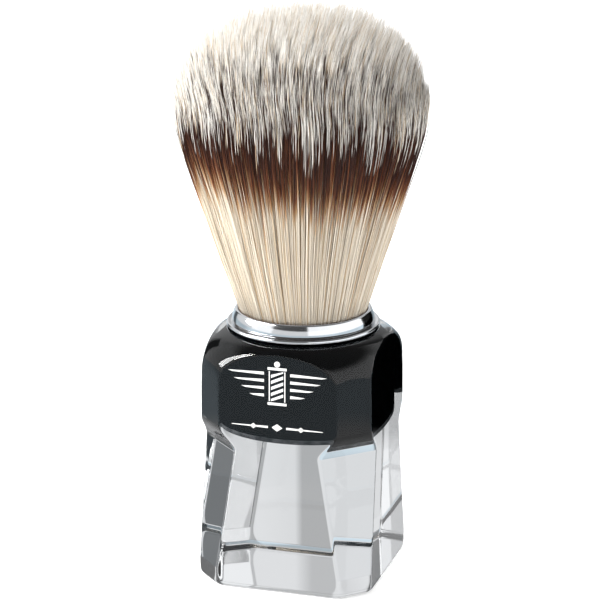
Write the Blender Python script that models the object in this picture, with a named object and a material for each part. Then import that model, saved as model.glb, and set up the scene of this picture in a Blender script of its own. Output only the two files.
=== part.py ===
"""Shaving brush: a clear block handle, a black socket cup, a chrome ferrule and a domed fibre knot.

Metres, +Z up. The origin is the middle of the handle's base, and the front face looks along -Y.
"""

import math

import bmesh
import bpy
from mathutils import Matrix

MM = 0.001

# Handle block: a tapered square block whose four corners are cut back.
FACE_HALF_BASE = 18.2 * MM
FACE_HALF_SHOULDER = 17.65 * MM
SHOULDER_LEVEL = 45.4 * MM
BLOCK_HEIGHT = 52.0 * MM
CORNER_FOOT = 21.9 * MM  # from the axis to a corner facet, across the diagonal
CORNER_WAIST = 18.9 * MM
CORNER_UPPER = 21.1 * MM
FOOT_TOP = 4.0 * MM
WAIST_LEVEL = 29.0 * MM
STEP_TOP = 34.0 * MM
STEP_POINTS = 8
CUTTER_REACH = 36.0 * MM
CUTTER_HALF_WIDTH = 16.0 * MM

# The turned shoulder that rounds the top of the block.
SHOULDER_ARC_RADIUS = 8.6 * MM
SHOULDER_ARC_CENTRE_R = 13.0 * MM
SHOULDER_ARC_CENTRE_Z = 42.9 * MM
SHOULDER_ARC_POINTS = 12
SKIRT_CLEAR = 30.0 * MM

# The socket inside the block, and what fills it.
BORE_RADIUS = 15.15 * MM
BORE_FLOOR = 31.05 * MM
GAP = 0.3 * MM
CEMENT_THICKNESS = 0.6 * MM
CUP_RADIUS = BORE_RADIUS - GAP
CUP_BOTTOM = BORE_FLOOR + GAP + CEMENT_THICKNESS + GAP
CUP_FLOOR_THICKNESS = 2.0 * MM
CUP_INNER_RADIUS = 13.9 * MM
CUP_TOP = 50.9 * MM
CUP_RIM_BREAK = 0.25 * MM

# Ferrule: a thin spun tube with a flared collar, a groove and a rolled bead.
FERRULE_BORE = 13.0 * MM
FERRULE_SKIRT = 13.6 * MM
FERRULE_BOTTOM = 36.0 * MM
FERRULE_SEAT = 51.45 * MM
FERRULE_TOP = 54.85 * MM
BEAD_RADIUS = 15.45 * MM

# Knot: the bundle stands in the ferrule, spreads as a cone and ends in a dome.
ROOT_RADIUS = 12.7 * MM
WAISTED_ROOT = 11.7 * MM
KNOT_BOTTOM = 41.4 * MM
BINDING_BOTTOM = 41.7 * MM
BINDING_TOP = 44.1 * MM
BINDING_TURNS = 3
CONE_START_RADIUS = 12.9 * MM
CONE_SLOPE = 0.328
CONE_TOP = 84.3 * MM
DOME_LEVEL = 95.2 * MM
DOME_RADIUS = 24.9 * MM
DOME_HEIGHT = 20.0 * MM
DOME_POWER = 2.24
DOME_POINTS = 12
SHOULDER_BLEND_POINTS = 4

PLUG_BOTTOM = FERRULE_BOTTOM + GAP
PLUG_TOP = KNOT_BOTTOM - GAP
ADHESIVE_BOTTOM = CUP_BOTTOM + CUP_FLOOR_THICKNESS + GAP
ADHESIVE_TOP = FERRULE_BOTTOM - GAP
ADHESIVE_RADIUS = CUP_INNER_RADIUS - GAP

TURN_STEPS = 48
SHOULDER_STEPS = 72
SHARP_ANGLE = math.radians(30)


def clear_scene():
    for obj in list(bpy.data.objects):
        bpy.data.objects.remove(obj)


def material(name, colour, roughness, metallic=0.0, transmission=0.0):
    made = bpy.data.materials.new(name)
    made.use_nodes = True
    shader = made.node_tree.nodes["Principled BSDF"]
    shader.inputs["Base Color"].default_value = (*colour, 1.0)
    shader.inputs["Roughness"].default_value = roughness
    shader.inputs["Metallic"].default_value = metallic
    shader.inputs["Transmission Weight"].default_value = transmission
    shader.inputs["IOR"].default_value = 1.49
    return made


def new_object(name, mesh, surface=None):
    obj = bpy.data.objects.new(name, mesh)
    bpy.context.scene.collection.objects.link(obj)
    if surface is not None:
        mesh.materials.append(surface)
    return obj


def as_cutter(obj):
    obj.hide_render = True
    obj.display_type = "WIRE"
    return obj


def turned(name, profile, surface=None, steps=TURN_STEPS, ring=False):
    """Turn a profile of (radius, height) points round Z. It runs down the outer side, top to bottom."""
    mesh = bpy.data.meshes.new(name)
    count = len(profile)
    edges = [(i, i + 1) for i in range(count - 1)]
    if ring:
        edges.append((count - 1, 0))
    mesh.from_pydata([(r, 0.0, z) for r, z in profile], edges, [])
    obj = new_object(name, mesh, surface)
    screw = obj.modifiers.new("turn", "SCREW")
    screw.axis = "Z"
    screw.angle = math.tau
    screw.steps = steps
    screw.render_steps = steps
    screw.use_smooth_shade = True
    screw.use_merge_vertices = True
    screw.merge_threshold = 0.00001
    return obj


def arc(centre_r, centre_z, radius, start, end, points):
    """Points of an arc from one angle to another, in degrees, measured up from the outward radius."""
    angles = [math.radians(start + (end - start) * i / (points - 1)) for i in range(points)]
    return [(centre_r + radius * math.cos(a), centre_z + radius * math.sin(a)) for a in angles]


def boolean(target, cutter, operation):
    step = target.modifiers.new(cutter.name, "BOOLEAN")
    step.operation = operation
    step.solver = "EXACT"
    step.object = cutter


def smooth_step(t):
    return t * t * (3.0 - 2.0 * t)


def face_half(z):
    """Half the distance across the flats at a height."""
    return FACE_HALF_BASE + (FACE_HALF_SHOULDER - FACE_HALF_BASE) * z / SHOULDER_LEVEL


def tapered_block(name, surface):
    bm = bmesh.new()
    bmesh.ops.create_cube(bm, size=2.0)
    for vert in bm.verts:
        height = BLOCK_HEIGHT if vert.co.z > 0 else 0.0
        half = face_half(height)
        vert.co.x = math.copysign(half, vert.co.x)
        vert.co.y = math.copysign(half, vert.co.y)
        vert.co.z = height
    mesh = bpy.data.meshes.new(name)
    bm.to_mesh(mesh)
    bm.free()
    return new_object(name, mesh, surface)


def corner_outline():
    """The cut of one corner as (distance from the axis, height): foot, incline, step and upper facet."""
    outline = [(CORNER_FOOT, -1.0 * MM), (CORNER_FOOT, FOOT_TOP)]
    for i in range(STEP_POINTS + 1):
        t = i / STEP_POINTS
        distance = CORNER_WAIST + (CORNER_UPPER - CORNER_WAIST) * smooth_step(t)
        outline.append((distance, WAIST_LEVEL + (STEP_TOP - WAIST_LEVEL) * t))
    above = BLOCK_HEIGHT + 1.0 * MM
    outline += [(CORNER_UPPER, above), (CUTTER_REACH, above), (CUTTER_REACH, -1.0 * MM)]
    return outline


def corner_cutter(index):
    bm = bmesh.new()
    verts = [bm.verts.new((d, -CUTTER_HALF_WIDTH, z)) for d, z in corner_outline()]
    face = bm.faces.new(verts)
    swept = bmesh.ops.extrude_face_region(bm, geom=[face])
    moved = [item for item in swept["geom"] if isinstance(item, bmesh.types.BMVert)]
    bmesh.ops.translate(bm, verts=moved, vec=(0.0, 2.0 * CUTTER_HALF_WIDTH, 0.0))
    bmesh.ops.recalc_face_normals(bm, faces=bm.faces)
    bmesh.ops.transform(bm, verts=bm.verts, matrix=Matrix.Rotation(math.radians(45 + 90 * index), 4, "Z"))
    mesh = bpy.data.meshes.new(f"corner_cutter_{index}")
    bm.to_mesh(mesh)
    bm.free()
    return as_cutter(new_object(mesh.name, mesh))


def shoulder_guide():
    crown = SHOULDER_ARC_CENTRE_Z + SHOULDER_ARC_RADIUS
    full = SHOULDER_ARC_CENTRE_R + SHOULDER_ARC_RADIUS
    profile = [(0.0, crown)]
    profile += arc(
        SHOULDER_ARC_CENTRE_R, SHOULDER_ARC_CENTRE_Z, SHOULDER_ARC_RADIUS, 90, 0, SHOULDER_ARC_POINTS
    )
    profile += [(full, STEP_TOP), (SKIRT_CLEAR, STEP_TOP), (SKIRT_CLEAR, -2.0 * MM), (0.0, -2.0 * MM)]
    return as_cutter(turned("shoulder_guide", profile, steps=SHOULDER_STEPS))


def bore_cutter():
    above = BLOCK_HEIGHT + 2.0 * MM
    profile = [(0.0, above), (BORE_RADIUS, above), (BORE_RADIUS, BORE_FLOOR), (0.0, BORE_FLOOR)]
    return as_cutter(turned("bore_cutter", profile, steps=SHOULDER_STEPS))


def handle_block():
    clear = material("clear_acrylic", (0.96, 0.97, 0.98), 0.02, transmission=1.0)
    block = tapered_block("handle_block", clear)
    for index in range(4):
        boolean(block, corner_cutter(index), "DIFFERENCE")
    boolean(block, shoulder_guide(), "INTERSECT")
    boolean(block, bore_cutter(), "DIFFERENCE")
    block.data.set_sharp_from_angle(angle=SHARP_ANGLE)
    return block


def cup_cement():
    bottom = BORE_FLOOR + GAP
    top = bottom + CEMENT_THICKNESS
    profile = [(0.0, top), (CUP_RADIUS, top), (CUP_RADIUS, bottom), (0.0, bottom)]
    return turned("cup_cement", profile, material("black_cement", (0.02, 0.02, 0.022), 0.6))


def insert_cup():
    floor = CUP_BOTTOM + CUP_FLOOR_THICKNESS
    profile = [
        (0.0, floor),
        (CUP_INNER_RADIUS, floor),
        (CUP_INNER_RADIUS, CUP_TOP - CUP_RIM_BREAK),
        (CUP_INNER_RADIUS + CUP_RIM_BREAK, CUP_TOP),
        (CUP_RADIUS - CUP_RIM_BREAK, CUP_TOP),
        (CUP_RADIUS, CUP_TOP - CUP_RIM_BREAK),
        (CUP_RADIUS, CUP_BOTTOM),
        (0.0, CUP_BOTTOM),
    ]
    return turned("insert_cup", profile, material("black_plastic", (0.012, 0.013, 0.014), 0.3))


def ferrule():
    """Outer side from the rolled lip down the collar, over the bead and in to the hidden skirt."""
    lip = arc(13.4 * MM, FERRULE_TOP - 0.4 * MM, 0.4 * MM, 150, 0, 5)
    collar = [(13.95 * MM, 53.9 * MM), (14.25 * MM, 52.9 * MM), (14.35 * MM, 52.6 * MM)]
    groove = [(14.55 * MM, 52.35 * MM), (14.9 * MM, 52.2 * MM)]
    bead = arc(BEAD_RADIUS - 0.35 * MM, 51.85 * MM, 0.35 * MM, 75, -65, 6)
    profile = lip + collar + groove + bead
    profile += [
        (FERRULE_SKIRT, FERRULE_SEAT),
        (FERRULE_SKIRT, FERRULE_BOTTOM),
        (FERRULE_BORE, FERRULE_BOTTOM),
        (FERRULE_BORE, FERRULE_TOP - 0.35 * MM),
    ]
    return turned("ferrule", profile, material("chrome", (0.86, 0.87, 0.88), 0.06, metallic=1.0), ring=True)


def knot_adhesive():
    profile = [
        (0.0, ADHESIVE_TOP),
        (ADHESIVE_RADIUS, ADHESIVE_TOP),
        (ADHESIVE_RADIUS, ADHESIVE_BOTTOM),
        (0.0, ADHESIVE_BOTTOM),
    ]
    return turned("knot_adhesive", profile, material("epoxy", (0.62, 0.55, 0.38), 0.25))


def resin_plug():
    profile = [(0.0, PLUG_TOP), (ROOT_RADIUS, PLUG_TOP), (ROOT_RADIUS, PLUG_BOTTOM), (0.0, PLUG_BOTTOM)]
    return turned("resin_plug", profile, material("potting_resin", (0.45, 0.30, 0.14), 0.3))


def root_binding():
    """Thread wound round the roots: one ring whose outer side shows each turn."""
    pitch = (BINDING_TOP - BINDING_BOTTOM) / BINDING_TURNS
    valley = ROOT_RADIUS - 0.3 * MM
    outer = [(valley, BINDING_TOP)]
    for turn in range(BINDING_TURNS):
        top = BINDING_TOP - turn * pitch
        outer += [(ROOT_RADIUS, top - 0.3 * pitch), (ROOT_RADIUS, top - 0.7 * pitch)]
        outer.append((valley, top - pitch))
    inner = WAISTED_ROOT + GAP
    profile = outer + [(inner, BINDING_BOTTOM), (inner, BINDING_TOP)]
    return turned("root_binding", profile, material("waxed_thread", (0.55, 0.47, 0.33), 0.8), ring=True)


def knot_profile():
    """Half outline of the bundle, from the top of the dome down to the roots."""
    cone_end = CONE_START_RADIUS + CONE_SLOPE * (CONE_TOP - FERRULE_TOP)
    outline = [(0.0, DOME_LEVEL + DOME_HEIGHT)]
    for i in range(1, DOME_POINTS + 1):
        angle = 0.5 * math.pi * (1.0 - i / DOME_POINTS)
        radius = DOME_RADIUS * math.cos(angle) ** (2.0 / DOME_POWER)
        height = DOME_LEVEL + DOME_HEIGHT * math.sin(angle) ** (2.0 / DOME_POWER)
        outline.append((radius, height))
    drop = DOME_LEVEL - CONE_TOP
    for i in range(1, SHOULDER_BLEND_POINTS + 1):
        t = 1.0 - i / SHOULDER_BLEND_POINTS
        start_weight = 2 * t**3 - 3 * t**2 + 1
        slope_weight = t**3 - 2 * t**2 + t
        radius = start_weight * cone_end + (1 - start_weight) * DOME_RADIUS
        outline.append((radius + slope_weight * drop * CONE_SLOPE, CONE_TOP + t * drop))
    outline += [
        (CONE_START_RADIUS, FERRULE_TOP + 0.1 * MM),
        (ROOT_RADIUS, FERRULE_TOP - 0.8 * MM),
        (ROOT_RADIUS, BINDING_TOP + 2.0 * GAP),
        (WAISTED_ROOT, BINDING_TOP + GAP),
        (WAISTED_ROOT, KNOT_BOTTOM),
        (0.0, KNOT_BOTTOM),
    ]
    return outline


def fibre_knot():
    return turned("fibre_knot", knot_profile(), material("fibre", (0.83, 0.78, 0.69), 0.6))


def main():
    clear_scene()
    handle_block()
    cup_cement()
    insert_cup()
    ferrule()
    knot_adhesive()
    resin_plug()
    root_binding()
    fibre_knot()


main()
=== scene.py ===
"""Looks of the shaving brush: clear block, black socket cup, chrome ferrule, three-tone fibre knot.

Metres, +Z up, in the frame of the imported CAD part. The front face looks along -Y.
"""

import math

import bpy
import numpy as np
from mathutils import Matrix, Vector, kdtree


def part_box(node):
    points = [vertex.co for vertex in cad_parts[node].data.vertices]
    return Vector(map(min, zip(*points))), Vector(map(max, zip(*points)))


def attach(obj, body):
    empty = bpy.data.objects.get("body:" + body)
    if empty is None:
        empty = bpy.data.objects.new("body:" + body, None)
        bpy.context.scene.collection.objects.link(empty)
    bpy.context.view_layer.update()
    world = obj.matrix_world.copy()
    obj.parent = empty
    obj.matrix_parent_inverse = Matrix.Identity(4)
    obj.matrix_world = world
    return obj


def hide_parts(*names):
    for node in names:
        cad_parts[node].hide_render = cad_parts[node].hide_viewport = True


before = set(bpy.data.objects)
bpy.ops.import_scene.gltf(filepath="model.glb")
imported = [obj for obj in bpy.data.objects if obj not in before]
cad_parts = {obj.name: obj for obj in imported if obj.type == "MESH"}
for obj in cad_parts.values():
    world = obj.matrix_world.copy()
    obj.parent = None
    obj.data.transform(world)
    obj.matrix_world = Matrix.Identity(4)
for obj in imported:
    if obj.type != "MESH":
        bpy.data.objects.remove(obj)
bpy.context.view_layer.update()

MM = 0.001

# Places read from the frame.
BLOCK_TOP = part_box("handle_block")[1].z
FACE_HALF_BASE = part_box("handle_block")[1].x
CUP_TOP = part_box("insert_cup")[1].z
CUP_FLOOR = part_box("insert_cup")[0].z
RIM_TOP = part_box("ferrule")[1].z
BEAD_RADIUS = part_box("ferrule")[1].x
FERRULE_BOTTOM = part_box("ferrule")[0].z
KNOT_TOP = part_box("fibre_knot")[1].z
DOME_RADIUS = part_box("fibre_knot")[1].x

# The block, as in the CAD but for the shoulder's arc, which sits 0.3 mm lower. A corner's distance is
# from the axis to its facet, across the diagonal.
FACE_HALF_SHOULDER = 17.65 * MM
SHOULDER_LEVEL = 45.4 * MM
CORNER_FOOT = 21.9 * MM
CORNER_WAIST = 18.9 * MM
CORNER_UPPER = 21.1 * MM
FOOT_TOP = 4.0 * MM
WAIST_LEVEL = 29.0 * MM
STEP_TOP = 34.0 * MM
SHOULDER_ARC_RADIUS = 8.6 * MM
SHOULDER_ARC_CENTRE_R = 13.0 * MM
SHOULDER_ARC_CENTRE_Z = BLOCK_TOP - SHOULDER_ARC_RADIUS
BORE_RADIUS = 15.15 * MM
BORE_FLOOR = 31.05 * MM

# The edge rounding that only the looks carry. A sharpness blends two surfaces: the higher, the tighter.
BASE_BEVEL = 1.1 * MM
BORE_BREAK = 0.25 * MM
UPPER_SHARPNESS = 9.0 / MM
FOOT_SHARPNESS = 2.6 / MM
SHOULDER_SHARPNESS = 5.0 / MM
SHOULDER_RELEASE = 8.0 * MM
FOOT_BLEND_TOP = 3.0 * MM

# The block's mesh: rings up its sides as (low, high, count) in millimetres, and columns across a facet.
SIDE_RINGS = [(0.55, 4.6, 22), (5.0, 28.0, 24), (28.3, 34.6, 43), (35.2, 42.6, 14)]
FACE_COLUMNS = 35
CORNER_COLUMNS = 9

# The badge's middle above the base.
BADGE_MIDDLE = 43.4 * MM

# The cup is cemented in the bore with no air between, so it stands a hair into the acrylic.
BONDED = 0.05 * MM
CUP_INNER_RADIUS = 13.9 * MM
CUP_FLOOR_THICKNESS = 2.0 * MM
CEMENT_TOP = CUP_FLOOR - 0.3 * MM

# The knot, as in the CAD but for a slightly squarer dome.
CONE_START_RADIUS = 12.9 * MM
CONE_SLOPE = 0.328
CONE_TOP = 84.3 * MM
DOME_LEVEL = 95.2 * MM
DOME_POWER = 2.3
DOME_HEIGHT = KNOT_TOP - DOME_LEVEL

# Strands. A share is a place across the bundle: 0 on the axis, 1 at its edge.
FIBRE_COUNT = 16000
FIBRE_RADIUS = 0.088 * MM
FIBRE_TIP_RADIUS = 0.022 * MM
FIBRE_TAPER = 13.0 * MM
TAPER_POWER = 0.6
THINNEST = 0.82  # a strand's own thickness, as a factor
THICKEST = 1.18
TIP_CROWDING = 0.8  # below 1 the points of a strand stand closer together near its tip
FULL_LENGTH_FROM = 0.87  # the share beyond which strands run down into the ferrule
ROOT_DEPTH = 1.2 * MM  # how far those start below the lip
SHORT_FIBRE = 21.0 * MM  # the length of the strands inside them, whose lower part can't be seen
DISORDER = 0.55  # of the spacing between strands
OUTLINE_HUG = 8  # the higher, the fewer strands follow the outline's curve

# Tips stand above the dome's mean surface by a bell curve, cut off at both ends.
TIP_RISE = 1.9 * MM
TIP_SPREAD = 0.42 * MM
TIP_LOWEST = -1.2 * MM
TIP_HIGHEST = 2.7 * MM

# Each strand strays and waves a little, more so higher up, and stays within the outline times its room.
STRAY = 0.28 * MM
CRIMP = 0.07 * MM
CRIMP_RATE = 0.32 / MM
CLIMB_LIMIT = 1.3
OUTLINE_ROOM = 1.012

# In the camera's view the crown leans to the right, its sides and the cone a little to the left.
CROWN_LEAN = 1.9 * MM
SIDE_LEAN = 0.5 * MM
SIDE_LEAN_FROM = DOME_LEVEL + 1.5 * MM
SIDE_LEAN_OVER = 6.0 * MM
ROOT_LEAN = 0.25 * MM
ROOT_LEAN_OVER = 12.0 * MM
LEAN_ALONG_Y = 0.3  # for each unit along X

# The core inside the short strands.
CORE_DEPTH = 18.5 * MM
CORE_FOOT_SHARE = 0.93
CORE_SINK = 0.5 * MM
# Over this height below the cone's top the core turns dark: painted shade.
CORE_DARK_OVER = 8.0 * MM

# Tufts: strands lean together, and those between tufts end lower and carry less white. The dark tone moved up
# those strands is partly the band showing in the gaps and partly painted shade of the gaps.
TUFTS = 1300
TUFT_REACH = 1.02
TUFT_PULL = 0.48
TUFT_HEART = 0.41  # distance from a tuft's middle, over the tufts' spacing, where that begins
TUFT_RIM = 0.64
TUFT_EDGE_DROP = 2.0 * MM  # the most that a tip goes down
TUFT_LEAST_DROP = 0.2
TUFT_EDGE_SHIFT = 8.6 * MM  # the most that the dark tone goes up the strand
TUFT_LEAST_SHIFT = 0.5
CROWN_SHIFT = 0.2  # the part of that shift left near the axis; it grows over the shares below
SHIFT_FROM = 0.36
SHIFT_OVER = 0.45
# Less of that painted gap shade to the sides, most on the left where the key light falls: painted light by
# side.
LEFT_SHIFT_LOSS = 0.6
RIGHT_SHIFT_LOSS = 0.15

# The tones along a strand: (millimetres from its tip, colour).
WHITE = (0.93, 0.90, 0.845)
DARK = (0.050, 0.018, 0.012)
BROWN = (0.21, 0.072, 0.032)
TAN = (0.56, 0.34, 0.175)
CREAM = (0.87, 0.785, 0.655)
TONES = [
    (0.0, WHITE),
    (7.9, WHITE),
    (9.0, DARK),
    (12.9, DARK),
    (16.2, BROWN),
    (18.7, TAN),
    (21.2, CREAM),
    (80.0, CREAM),
]

# Stains on a quarter of the strands, by a random value: (value, colour multiplied in).
STAINS = [
    (0.0, (0.64, 0.46, 0.29)),
    (0.12, (0.86, 0.76, 0.62)),
    (0.26, (1.0, 1.0, 1.0)),
]

# The strand map. Its V starts a little beyond the tip, so that shifted tones stay on it.
TONE_COLUMNS = 128
TONE_SPAN = 80.0 * MM
TONE_START = 4.0 * MM

# The band slants up to the left, its foot the most. Below the white its tones stretch down at the front.
BAND_TILT = 1.4 * MM
BAND_FOOT_TILT = 1.1 * MM
BAND_STRETCH = 2.0 * MM
BAND_STRETCH_FROM = 6.0 * MM
BAND_STRETCH_OVER = 9.0 * MM
DARKER_STRETCH = 0.6  # the part of a strand's own shift that is given back lower down

# Level directions in the camera's view: to its right, and towards it.
RIGHT_X, RIGHT_Y = 0.957, 0.291
TOWARDS_X, TOWARDS_Y = 0.291, -0.957


def smooth_step(t):
    return t * t * (3.0 - 2.0 * t)


def arc(centre_r, centre_z, radius, start, end, points):
    """Points of an arc from one angle to another, in degrees, measured up from the outward radius."""
    angles = np.radians(np.linspace(start, end, points))
    return [(centre_r + radius * math.cos(a), centre_z + radius * math.sin(a)) for a in angles]


# Node material helpers


def node_material(name):
    made = bpy.data.materials.new(name)
    made.use_nodes = True
    return made, made.node_tree, made.node_tree.nodes["Principled BSDF"]


def add_node(tree, kind, **settings):
    node = tree.nodes.new(kind)
    for key, value in settings.items():
        if key in node.inputs:
            node.inputs[key].default_value = value
        else:
            setattr(node, key, value)
    return node


def noise(tree, vector, scale, detail=4.0, stretch=(1.0, 1.0, 1.0)):
    """A noise pattern on object coordinates, stretched by dividing its scale along an axis."""
    mapping = add_node(tree, "ShaderNodeMapping", Scale=stretch)
    tree.links.new(vector, mapping.inputs["Vector"])
    made = add_node(tree, "ShaderNodeTexNoise", Scale=scale, Detail=detail)
    tree.links.new(mapping.outputs["Vector"], made.inputs["Vector"])
    return made.outputs["Fac"]


def ramp(tree, value, stops):
    """A colour ramp; each stop is (position, colour)."""
    made = tree.nodes.new("ShaderNodeValToRGB")
    while len(made.color_ramp.elements) < len(stops):
        made.color_ramp.elements.new(0.5)
    for element, (position, colour) in zip(made.color_ramp.elements, stops):
        element.position = position
        element.color = (*colour, 1.0)
    tree.links.new(value, made.inputs["Fac"])
    return made.outputs["Color"]


def map_range(tree, value, low, high, start=0.0, end=1.0, interpolation="LINEAR"):
    """From low to high as the value goes from start to end, and level beyond both."""
    made = add_node(tree, "ShaderNodeMapRange", interpolation_type=interpolation)
    made.inputs["From Min"].default_value = start
    made.inputs["From Max"].default_value = end
    made.inputs["To Min"].default_value = low
    made.inputs["To Max"].default_value = high
    tree.links.new(value, made.inputs["Value"])
    return made.outputs["Result"]


def blend(tree, kind, first, second, share=1.0):
    """Two colours blended. Each input is a socket, a number or, for a colour, an RGB triple."""
    made = add_node(tree, "ShaderNodeMix", data_type="RGBA", blend_type=kind)
    for name, value in (("Factor", share), ("A", first), ("B", second)):
        if isinstance(value, bpy.types.NodeSocket):
            tree.links.new(value, made.inputs[name])
        elif name == "Factor":
            made.inputs[name].default_value = value
        else:
            triple = value if isinstance(value, tuple) else (value, value, value)
            made.inputs[name].default_value = (*triple, 1.0)
    return made.outputs["Result"]


def separated(tree, vector):
    """The X, Y and Z sockets of a vector."""
    made = tree.nodes.new("ShaderNodeSeparateXYZ")
    tree.links.new(vector, made.inputs["Vector"])
    return made.outputs["X"], made.outputs["Y"], made.outputs["Z"]


def bump(tree, height, distance, strength):
    made = add_node(tree, "ShaderNodeBump", Strength=strength, Distance=distance)
    tree.links.new(height, made.inputs["Height"])
    return made.outputs["Normal"]


def object_coordinates(tree):
    return tree.nodes.new("ShaderNodeTexCoord").outputs["Object"]


def maths(tree, operation, first, second=None):
    made = add_node(tree, "ShaderNodeMath", operation=operation)
    for index, value in enumerate((first, second)):
        if value is None:
            continue
        if isinstance(value, (int, float)):
            made.inputs[index].default_value = value
        else:
            tree.links.new(value, made.inputs[index])
    return made.outputs["Value"]


# Materials


def clear_acrylic():
    made, tree, shader = node_material("clear_acrylic")
    place = object_coordinates(tree)
    shader.inputs["Base Color"].default_value = (0.955, 0.963, 0.968, 1.0)
    shader.inputs["IOR"].default_value = 1.49
    shader.inputs["Transmission Weight"].default_value = 1.0
    smears = noise(tree, place, 90.0, detail=3.0)
    tree.links.new(map_range(tree, smears, 0.0, 0.012), shader.inputs["Roughness"])
    flow = noise(tree, place, 160.0, detail=2.0, stretch=(1.0, 1.0, 0.25))
    tree.links.new(bump(tree, flow, 0.001 * MM, 0.1), shader.inputs["Normal"])
    return made


def black_moulding(name, low, high, roughness, grain):
    """Near-black plastic, matt where it is bonded to the acrylic, with a fine moulded grain."""
    made, tree, shader = node_material(name)
    place = object_coordinates(tree)
    mottle = noise(tree, place, grain, detail=2.0)
    sheen = map_range(tree, mottle, roughness - 0.1, roughness + 0.1)
    tree.links.new(ramp(tree, mottle, [(0.3, low), (0.7, high)]), shader.inputs["Base Color"])
    tree.links.new(sheen, shader.inputs["Roughness"])
    tree.links.new(bump(tree, mottle, 0.01 * MM, 0.15), shader.inputs["Normal"])
    shader.inputs["Specular IOR Level"].default_value = 0.0
    return made


def chrome():
    """Polished plate with faint lathe lines round the axis and a little haze."""
    made, tree, shader = node_material("chrome")
    place = object_coordinates(tree)
    shader.inputs["Metallic"].default_value = 1.0
    haze = noise(tree, place, 260.0, detail=4.0)
    lines = noise(tree, place, 900.0, detail=2.0, stretch=(0.06, 0.06, 4.0))
    tree.links.new(
        ramp(tree, haze, [(0.25, (0.80, 0.81, 0.83)), (0.75, (0.88, 0.89, 0.90))]),
        shader.inputs["Base Color"],
    )
    tree.links.new(map_range(tree, haze, 0.07, 0.13), shader.inputs["Roughness"])
    tree.links.new(bump(tree, lines, 0.002 * MM, 0.5), shader.inputs["Normal"])
    return made


def printed_ink():
    made, tree, shader = node_material("printed_ink")
    place = object_coordinates(tree)
    grain = noise(tree, place, 2600.0, detail=3.0)
    tree.links.new(
        ramp(tree, grain, [(0.3, (0.70, 0.70, 0.69)), (0.7, (0.84, 0.84, 0.83))]),
        shader.inputs["Base Color"],
    )
    tree.links.new(map_range(tree, grain, 0.4, 0.6), shader.inputs["Roughness"])
    tree.links.new(bump(tree, grain, 0.004 * MM, 0.4), shader.inputs["Normal"])
    return made


def resin(name, low, high, roughness):
    """Cast resin with flow marks and small bubbles."""
    made, tree, shader = node_material(name)
    place = object_coordinates(tree)
    flow = noise(tree, place, 140.0, detail=6.0)
    cells = add_node(tree, "ShaderNodeTexVoronoi", Scale=900.0)
    tree.links.new(place, cells.inputs["Vector"])
    tree.links.new(ramp(tree, flow, [(0.3, low), (0.7, high)]), shader.inputs["Base Color"])
    tree.links.new(map_range(tree, flow, roughness, roughness + 0.2), shader.inputs["Roughness"])
    tree.links.new(bump(tree, cells.outputs["Distance"], 0.05 * MM, 0.3), shader.inputs["Normal"])
    return made


def waxed_thread():
    """Twisted thread: fine diagonal strands round the axis."""
    made, tree, shader = node_material("waxed_thread")
    place = object_coordinates(tree)
    twist = add_node(tree, "ShaderNodeTexWave", Scale=420.0, Distortion=2.0)
    twist.bands_direction = "DIAGONAL"
    tree.links.new(place, twist.inputs["Vector"])
    tree.links.new(
        ramp(tree, twist.outputs["Fac"], [(0.1, (0.30, 0.24, 0.15)), (0.8, (0.62, 0.54, 0.38))]),
        shader.inputs["Base Color"],
    )
    tree.links.new(map_range(tree, twist.outputs["Fac"], 0.55, 0.8), shader.inputs["Roughness"])
    tree.links.new(bump(tree, twist.outputs["Fac"], 0.08 * MM, 0.6), shader.inputs["Normal"])
    return made


def strand_chance(tree, column, offset):
    """A random value from 0 to 1 that stays the same along a strand."""
    seed = maths(tree, "ADD", column, offset)
    made = add_node(tree, "ShaderNodeTexWhiteNoise", noise_dimensions="1D")
    tree.links.new(seed, made.inputs["W"])
    return made.outputs["Value"]


def fibre_tones():
    """Root to tip: cream, a dark brown band with ragged edges, off-white. The strand map holds the
    strand's column along U and the distance from the tip along V."""
    made, tree, shader = node_material("fibre_tones")
    strand = add_node(tree, "ShaderNodeUVMap", uv_map="OFBake")
    u, v, _ = separated(tree, strand.outputs["UV"])
    column = maths(tree, "FLOOR", maths(tree, "MULTIPLY", u, float(TONE_COLUMNS)))
    span = TONE_SPAN / MM
    from_tip = maths(tree, "SUBTRACT", maths(tree, "MULTIPLY", v, span), TONE_START / MM)
    first = map_range(tree, strand_chance(tree, column, 0.5), -2.2, 2.0)
    second = map_range(tree, strand_chance(tree, column, 11.9), -2.0, 1.8)
    ragged = maths(tree, "ADD", first, second)
    level = maths(tree, "DIVIDE", maths(tree, "ADD", from_tip, ragged), span)
    tones = ramp(tree, level, [(distance / span, colour) for distance, colour in TONES])
    stains = ramp(tree, strand_chance(tree, column, 3.1), STAINS)
    variety = map_range(tree, strand_chance(tree, column, 7.3), 0.82, 1.0)
    stained = blend(tree, "MULTIPLY", tones, stains)
    tree.links.new(blend(tree, "MULTIPLY", stained, variety), shader.inputs["Base Color"])
    shader.inputs["Roughness"].default_value = 0.55
    shader.inputs["Specular IOR Level"].default_value = 0.12
    return made


def core_shade():
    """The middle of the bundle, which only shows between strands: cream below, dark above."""
    made, tree, shader = node_material("core_shade")
    place = object_coordinates(tree)
    streaks = noise(tree, place, 1500.0, detail=3.0, stretch=(1.0, 1.0, 0.05))
    level = map_range(tree, separated(tree, place)[2], 0.0, 1.0, CONE_TOP - CORE_DARK_OVER, CONE_TOP)
    pale = ramp(tree, streaks, [(0.3, (0.60, 0.45, 0.28)), (0.7, (0.88, 0.76, 0.58))])
    # The dark top is painted shade of the depth between the tips.
    painted_depth_shade = ramp(tree, streaks, [(0.3, (0.020, 0.010, 0.008)), (0.7, (0.09, 0.05, 0.03))])
    tree.links.new(blend(tree, "MIX", pale, painted_depth_shade, level), shader.inputs["Base Color"])
    shader.inputs["Roughness"].default_value = 0.8
    return made


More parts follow.
